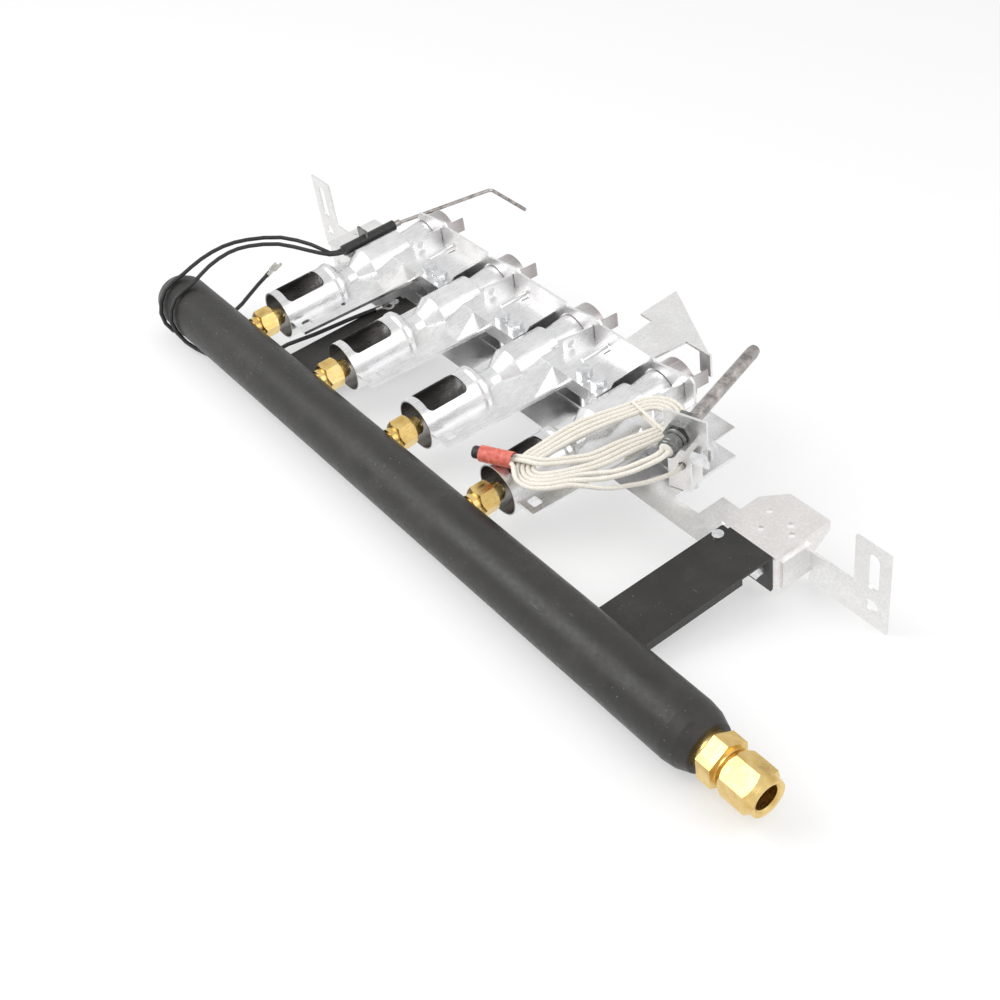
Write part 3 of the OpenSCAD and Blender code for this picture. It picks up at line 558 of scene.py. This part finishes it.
HUB_LEN, THREAD_R, THREAD_PITCH = 14, 7.9, 1.27
thread_from = (pipe_high.x - home.x) / MM + HUB_LEN
thread_to = (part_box("inlet_nut")[0][0] - home.x) / MM
inlet_work = bmesh.new()
thread(inlet_work, facing((thread_from, 0, 0), (1, 0, 0)), THREAD_R, 0.55, THREAD_PITCH, 0.3,
       max((thread_to - thread_from - 0.7) / THREAD_PITCH, 1))
inlet_thread = add_piece("inlet_thread", inlet_work, brass)


# ---------- burners ----------
# Each burner is two stamped shells of thin aluminised sheet, spot-welded along their flanges, with a stamped
# flame insert pressed into the head. The head and insert are blued and browned by the flame. Inside the
# barrel, by the inlet, the sheet is painted darker as shade.
WINDOW_R = 15.0


def rolled_sheet(light, dark, stain, grain=(1, 14, 14), marks=0.45, heat_tint_and_barrel_shade=None):
    """Bright sheet as rolled: streaks along the grain, clouds, stains and a few dark specks, and for the
    burners the flame's tint on the head and painted shade inside the barrel by the inlet.
    """
    def look(p):
        cloud = p.noise(42, 5, 0.62)
        streak = p.noise(110, 3, 0.6, stretch=grain)
        base = (cloud * 0.6 + streak * 0.4).ramp((0.36, dark), (0.64, light))
        base = p.noise(19, 5, 0.6).band(0.54, 0.68, 0, marks).blend(base, colour(*stain))
        specks = p.voronoi(300).band(0.03, 0.09, 0.8, 0) * p.noise(50, 2).band(0.5, 0.62)
        base = specks.blend(base, colour(0.16, 0.14, 0.12))
        if heat_tint_and_barrel_shade:
            apart = p.node("ShaderNodeSeparateXYZ", Vector=p)
            x, y, z = (p.out(apart, axis) for axis in "XYZ")
            aside = p.math("WRAP", x - home.x, -PITCH * MM / 2, PITCH * MM / 2)
            up = z - home.z
            radius = p.math("SQRT", aside * aside + up * up)
            # Painted shade: inside the barrel, within the window's radius and short of the throat, the sheet
            # is darkened as the shade seen through the air windows and the mouth.
            painted_barrel_shade = radius.band(WINDOW_R * MM, (WINDOW_R + 0.3) * MM, 0.8, 0) * y.band(
                heat_tint_and_barrel_shade[2], heat_tint_and_barrel_shade[2] + 4 * MM, 1, 0)
            base = painted_barrel_shade.blend(base, colour(0.22, 0.205, 0.19))
            along = y + p.noise(60, 3) * (12 * MM)
            base = along.band(heat_tint_and_barrel_shade[0], heat_tint_and_barrel_shade[1], 0, 0.75).blend(base, colour(0.30, 0.25, 0.24))
        return {"Base_Color": base, "Roughness": (streak * 0.5 + cloud * 0.5).band(0.36, 0.64, 0.20, 0.40),
                "bump": (streak * 0.6 + p.noise(55, 3) * 0.4, 0.16, 0.0008)}
    return look


head_from, throat_from = at(0, MOUTH_Y + BURNER_LEN - 14, 0).y, at(0, MOUTH_Y + 36, 0).y
aluminised = finish("aluminised_sheet", rolled_sheet(
    (0.92, 0.92, 0.92), (0.71, 0.71, 0.72), (0.66, 0.63, 0.59), grain=(12, 1, 12), marks=0.35,
    heat_tint_and_barrel_shade=(head_from, head_from + 20 * MM, throat_from)), Metallic=1)
wear(aluminised, *(f"{half}_shell_{n}" for half in ("upper", "lower") for n in (1, 2, 3, 4)))
flame_blued = finish("flame_blued_sheet", rolled_sheet(
    (0.50, 0.47, 0.46), (0.30, 0.27, 0.27), (0.22, 0.24, 0.30), marks=0.7), Metallic=1)
wear(flame_blued, *(f"flame_insert_{n}" for n in (1, 2, 3, 4)))

# ---------- screws and rivets ----------
# Zinc-plated hexagon screws with a washer face hold the burners to the crossbar. Steel rivets hold the arms.
plated = finish("zinc_plated_screws", lambda p: {
    "Base_Color": p.noise(260, 4).ramp((0.3, (0.64, 0.65, 0.66)), (0.7, (0.90, 0.90, 0.91))),
    "Roughness": p.noise(500, 3).band(0.3, 0.7, 0.18, 0.36),
    "bump": (p.noise(800, 3), 0.2, 0.0002)}, Metallic=1)
wear(plated, "burner_screws", "arm_rivets", "arm_bolt", "igniter_screws", "igniter_bolt")


# ---------- crossbar, shield, brackets and ears ----------
# Folded and punched galvanised sheet. The crossbar carries the burners and the shield closes off their heads.
# The right bracket is bare steel with a faint warm stain.
def galvanised(light, dark, warm):
    def look(p):
        mottle = p.voronoi(620) * 0.364 + p.noise(48, 5, 0.6) * 0.55
        spangle = mottle.ramp((0.36, dark), (0.66, light))
        smear = p.noise(26, 5, 0.6, stretch=(1, 2.5, 2.5)).band(0.5, 0.66, 0, 0.35)
        base = smear.blend(spangle, colour(*warm))
        nicks = p.noise(230, 4, 0.7, stretch=(1, 9, 9)).band(0.68, 0.74, 0, 0.6)
        return {"Base_Color": nicks.blend(base, colour(0.36, 0.34, 0.32)),
                "Roughness": p.noise(80, 4).band(0.35, 0.65, 0.32, 0.54),
                "bump": (p.noise(70, 3) * 0.6 + p.noise(400, 3) * 0.4, 0.14, 0.0007)}
    return look


galvanised_sheet = finish("galvanised_sheet", galvanised(
    (0.92, 0.915, 0.91), (0.80, 0.795, 0.79), (0.79, 0.77, 0.74)), Metallic=1)
wear(galvanised_sheet, "crossbar", "flame_shield", "left_bracket", "left_ear", "right_ear", "igniter_bracket")
bare_sheet = finish("bare_steel_sheet", galvanised(
    (0.93, 0.905, 0.885), (0.82, 0.79, 0.775), (0.82, 0.77, 0.74)), Metallic=1)
wear(bare_sheet, "right_bracket")


# ---------- igniter ----------
# A mottled rod in a steel gland, held by a locknut in its bracket. The leads come out of a white ceramic
# plug. The dark steel ferrule that grips the plug is a guess in its shape.
def scaled_steel(dark, light, rust):
    def look(p):
        cloud = p.noise(170, 5, 0.65)
        base = cloud.ramp((0.34, dark), (0.66, light))
        return {"Base_Color": p.noise(330, 4, 0.6).band(0.56, 0.68, 0, 0.7).blend(base, colour(*rust)),
                "Roughness": cloud.band(0.35, 0.65, 0.20, 0.42), "bump": (p.noise(450, 4), 0.3, 0.0004)}
    return look


rod_steel = finish("mottled_rod", scaled_steel(
    (0.22, 0.20, 0.19), (0.58, 0.545, 0.52), (0.34, 0.27, 0.245)), Metallic=1)
dark_steel = finish("dark_steel", scaled_steel(
    (0.12, 0.125, 0.12), (0.33, 0.335, 0.32), (0.20, 0.17, 0.14)), Metallic=1)
wear(rod_steel, "igniter_rod", "sensor_rod")
wear(dark_steel, "igniter_gland", "igniter_nut", "sensor_bracket")
wear(black_rubber, "sensor_body")
igniter_place = facing(by_igniter(0, 0, IGNITER_Z), (-sin(IGNITER_TURN), cos(IGNITER_TURN), 0))
ceramic = finish("ceramic", lambda p: {
    "Base_Color": p.noise(300, 4).ramp((0.3, (0.74, 0.71, 0.65)), (0.7, (0.86, 0.84, 0.79))),
    "Roughness": p.noise(240, 3).band(0.3, 0.7, 0.22, 0.38), "bump": (p.noise(700, 3), 0.1, 0.0002)})
wear(ceramic, "igniter_insulator")
ceramic_work = bmesh.new()
turned(ceramic_work, [(0, 11), (4.1, 11), (4.1, -14.6), (3.9, -15.3), (3.3, -15.7), (0, -15.7)],
       igniter_place)
ceramic_plug = add_piece("ceramic_plug", ceramic_work, ceramic)
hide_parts("igniter_insulator")

ferrule_work = bmesh.new()
turned(ferrule_work, [(4.15, -7.05), (5.3, -7.05), (5.3, -11.8), (5.0, -12.2), (5.0, -12.7), (5.5, -13.1),
                      (5.5, -14.3), (5.1, -14.8), (4.15, -14.8)], igniter_place, closed=True)
thread(ferrule_work, igniter_place, 6.0, 0.35, 1.2, -6.4, 1.6)
ferrule = add_piece("igniter_ferrule", ferrule_work, dark_steel)

# ---------- floor and light ----------
# The object lies tilted on the pipe and the ears' lower ends, so the floor has that tilt against the frame,
# just under the object's lowest point. It is nearly white to the camera, and keeps a soft shadow.
ROLL, LEAN, CLEAR = radians(0.47), radians(11.3), 0.1 * MM
floor_up = Vector((-sin(ROLL), sin(LEAN), cos(LEAN))).normalized()
floor_turn = floor_up.to_track_quat("Z", "Y")
bpy.context.view_layer.update()
seen_now = bpy.context.evaluated_depsgraph_get()
lowest = 1.0
for piece in SHOW:
    if piece.type in ("MESH", "CURVE") and not piece.hide_render:
        solid = piece.evaluated_get(seen_now)
        shape = solid.to_mesh()
        lowest = min([lowest] + [(piece.matrix_world @ v.co - home).dot(floor_up) for v in shape.vertices])
        solid.to_mesh_clear()
middle = at(150, 70, 0)
middle = middle - floor_up * ((middle - home).dot(floor_up) - lowest + CLEAR)

sheet = bmesh.new()
bmesh.ops.create_grid(sheet, x_segments=1, y_segments=1, size=9.0,
                      matrix=Matrix.Translation(middle) @ floor_turn.to_matrix().to_4x4())
floor_mesh = bpy.data.meshes.new("floor")
sheet.to_mesh(floor_mesh)
sheet.free()
floor = SHOW.new("floor", floor_mesh)
bpy.context.scene.collection.objects.link(floor)

paper = bpy.data.materials.new("paper")
paper.use_nodes = True
tree = paper.node_tree
start = Socket(tree, None)
tree.nodes.remove(tree.nodes["Principled BSDF"])
white = start.out(start.node("ShaderNodeBsdfDiffuse", Color=colour(0.93, 0.93, 0.93)))
glow = start.out(start.node("ShaderNodeEmission", Color=colour(1, 1, 1), Strength=1.0))
path = start.node("ShaderNodeLightPath")
seen = start.out(path, "Is Camera Ray").math("MAXIMUM", start.out(path, "Is Glossy Ray"))
mixed = start.node("ShaderNodeMixShader", _0=seen * 0.9, _1=white, _2=glow)
tree.links.new(mixed.outputs[0], tree.nodes["Material Output"].inputs["Surface"])
floor_mesh.materials.append(paper)

world = bpy.data.worlds.new("studio")
bpy.context.scene.world = world
world.use_nodes = True
tree = world.node_tree
start = Socket(tree, None)
path = start.node("ShaderNodeLightPath")
seen = start.out(path, "Is Camera Ray")
tree.links.new(seen.band(0, 1, 0.86, 1.0).link, tree.nodes["Background"].inputs["Strength"])
tree.nodes["Background"].inputs["Color"].default_value = colour(1, 1, 1)


def lamp(name, place, target, size, watts):
    light = bpy.data.lights.new(name, "AREA")
    light.shape, light.size, light.energy = "DISK", size, watts
    piece = SHOW.new(name, light)
    aim = (place - target).to_track_quat("Z", "Y")
    piece.matrix_world = Matrix.Translation(place) @ aim.to_matrix().to_4x4()
    bpy.context.scene.collection.objects.link(piece)


lamp("key", at(-300, -500, 900), at(150, 80, 0), 0.9, 6)
lamp("fill", at(900, 500, 700), at(150, 80, 0), 0.9, 2)
bpy.context.scene.view_settings.view_transform = "Standard"
